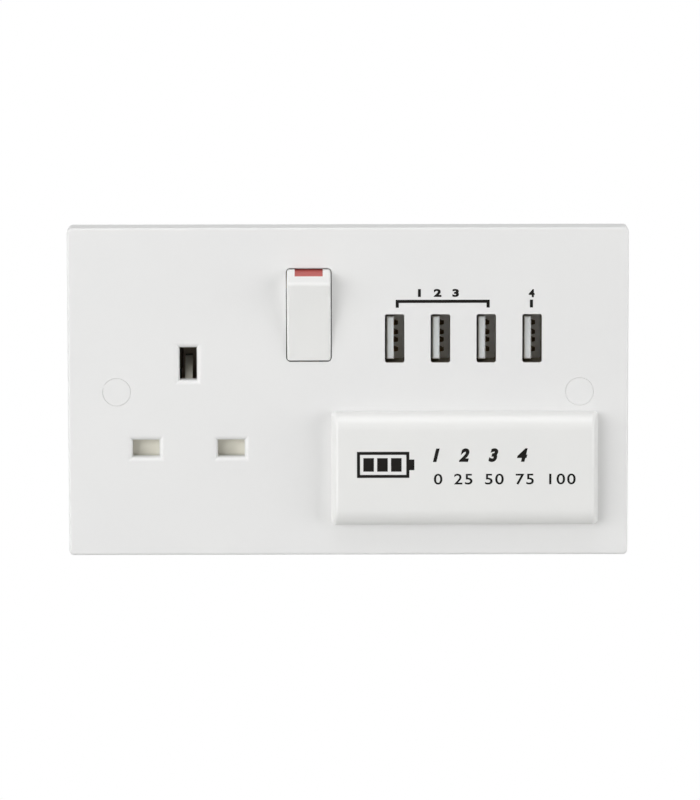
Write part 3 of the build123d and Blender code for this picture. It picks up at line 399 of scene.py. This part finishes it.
# moulded on the back: a letter over each terminal, a gauge for stripping wires, and ejector pin marks
baseFace, chargerFace = 17.13, 13.0
terminalLetter = {"slant": 0.0, "weight": 0.02, "spacing": 1.0, "gap": 1.0,
                  "width": 1.9, "low": -21.6, "high": -18.8}
terminalPlaces = {"neutral": ("N", 52.77), "earth1": ("E", 41.65), "earth2": ("E", 31.15),
                  "line": ("L", 10.16)}  # letter, and its middle in mm as read from behind
low, high, half = terminalLetter["low"], terminalLetter["high"], terminalLetter["width"] / 2
for terminal, (letter, centre) in terminalPlaces.items():
    look = {**terminalLetter, "text": letter, "box": (centre - half, centre + half, low, high)}
    markText(terminal + "Letter", look, baseFace, mouldedMark)
gauge = {"left": 30.0, "right": 38.0, "z": -10.0, "line": 0.5, "tick": 1.2}
left, right, z, line, tick = gauge.values()
markShape("stripGauge", [[
    (left, z - tick), (left + line, z - tick), (left + line, z - line / 2), (right - line, z - line / 2),
    (right - line, z - tick), (right, z - tick), (right, z + tick), (right - line, z + tick),
    (right - line, z + line / 2), (left + line, z + line / 2), (left + line, z + tick), (left, z + tick)]],
    baseFace, mouldedMark)
ejector = {"radius": 2.4, "line": 0.35, "film": 0.25,
           "base": [(10.0, 14.0), (46.0, 12.0), (20.0, -12.0)],
           "charger": [(-13.0, 8.0), (-50.0, 8.0), (-10.0, -24.0), (-52.0, -22.0)]}
ejectorMark = {**mouldedMark, "film": ejector["film"]}
for part, face in (("base", baseFace), ("charger", chargerFace)):
    rings = []
    for x, z in ejector[part]:
        rings += [circle(x, z, ejector["radius"]), circle(x, z, ejector["radius"] - ejector["line"])]
    markShape(part + "EjectorMarks", rings, face, ejectorMark)
print("marks on the back done")


# 1 where the camera, a gloss or glass sees the surface, 0 where it only sends light on
def seenDirectly(tree):
    path = addNode(tree, "ShaderNodeLightPath")
    seen = path.outputs["Is Camera Ray"]
    for ray in ("Is Glossy Ray", "Is Transmission Ray"):
        seen = addNode(tree, "ShaderNodeMath", None, {0: seen, 1: path.outputs[ray]},
                       operation="MAXIMUM").outputs[0]
    return seen


# floor well below the plate: white where it is seen, pale grey for the light it throws up
floorLook = {"colour": "#CDCDCB", "roughness": 0.9, "size": 4.0, "z": -0.35}  # metres
bpy.ops.mesh.primitive_plane_add(size=floorLook["size"], location=(0, 0, floorLook["z"]))
floor = bpy.context.object
floor.name = "studioFloor"
white = (1, 1, 1, 1)
floorMaterial, tree, shader, place = newMaterial("painted studio floor")
shader.inputs["Base Color"].default_value = linear(floorLook["colour"])
shader.inputs["Roughness"].default_value = floorLook["roughness"]
seen = seenDirectly(tree)
glow = addNode(tree, "ShaderNodeEmission", {"Color": white, "Strength": 1.0})
blend = addNode(tree, "ShaderNodeMixShader", None, {0: seen, 1: shader.outputs[0], 2: glow.outputs[0]})
tree.links.new(blend.outputs[0], tree.nodes["Material Output"].inputs["Surface"])
floor.data.materials.append(floorMaterial)

# surroundings: white where they are seen, and a little even light in the shade
fillLevel = 0.02
world = bpy.data.worlds.new("studio")
scene.world = world
world.use_nodes = True
tree = world.node_tree
level = addNode(tree, "ShaderNodeMapRange", {"To Min": fillLevel, "To Max": 1.0},
                {"Value": seenDirectly(tree)})
background = tree.nodes["Background"]
background.inputs["Color"].default_value = white
tree.links.new(level.outputs["Result"], background.inputs["Strength"])

# soft boxes turned to the plate: metres, and degrees round from the front and up from level
# the rear one is kept to the back, off the floor in front, and leaves no glare along the plate's edges
softBoxes = {
    "keyLight": {"watts": 27.9, "size": 1.6, "side": -47, "up": 0, "distance": 1.6},
    "sideLight": {"watts": 19.3, "size": 1.3, "side": 68, "up": 0, "distance": 1.6},
    "upperLight": {"watts": 2.6, "size": 1.1, "side": -35, "up": 35, "distance": 1.6},
    "topLight": {"watts": 11.4, "size": 1.3, "side": 0, "up": 75, "distance": 1.6},
    "rearLight": {"watts": 1.1, "size": 0.45, "side": 200, "up": -6, "distance": 0.9,
                  "spread": 60, "inGloss": False},
}
for name, look in softBoxes.items():
    light = bpy.data.lights.new(name, "AREA")
    light.energy, light.size = look["watts"], look["size"]
    light.spread = math.radians(look.get("spread", 180))
    lamp = bpy.data.objects.new(name, light)
    side, up = math.radians(look["side"]), math.radians(look["up"])
    away = Vector((math.sin(side) * math.cos(up), -math.cos(side) * math.cos(up), math.sin(up)))
    lamp.location = away * look["distance"]
    lamp.rotation_euler = (-away).to_track_quat("-Z", "Y").to_euler()
    lamp.visible_camera = False
    lamp.visible_glossy = look.get("inGloss", True)
    scene.collection.objects.link(lamp)
print("floor and lights done")

# camera from the photograph's place: square to the plate, looking a little down on it
cameraView = {"up": 7.3, "roll": 0.11, "distance": 1.3, "pxPerMm": 3.8384, "centre": (348.05, 391.83),
              "image": (700, 800), "sensorMm": 36.0, "clip": (0.01, 20.0)}
up = math.radians(cameraView["up"])
back = Vector((0, -math.cos(up), math.sin(up)))
above = Vector((0, math.sin(up), math.cos(up)))
pxPerMetre = cameraView["pxPerMm"] / mm
shiftX = (cameraView["image"][0] / 2 - cameraView["centre"][0]) / pxPerMetre
shiftZ = (cameraView["image"][1] / 2 - cameraView["centre"][1]) / pxPerMetre
aim = Vector((0, -plateFace * mm, 0)) + Vector((1, 0, 0)) * shiftX - above * shiftZ
cameraData = bpy.data.cameras.new("photoCamera")
cameraData.sensor_width = cameraView["sensorMm"]
cameraData.lens = pxPerMetre * cameraView["distance"] * cameraView["sensorMm"] / cameraView["image"][1]
cameraData.clip_start, cameraData.clip_end = cameraView["clip"]
camera = bpy.data.objects.new("photoCamera", cameraData)
camera.location = aim + back * cameraView["distance"]
camera.rotation_mode = "QUATERNION"
turn = (-back).to_track_quat("-Z", "Y")
camera.rotation_quaternion = turn @ Quaternion((0, 0, 1), math.radians(-cameraView["roll"]))
scene.collection.objects.link(camera)
scene.camera = camera
scene.view_settings.view_transform = "Standard"
print("camera set")
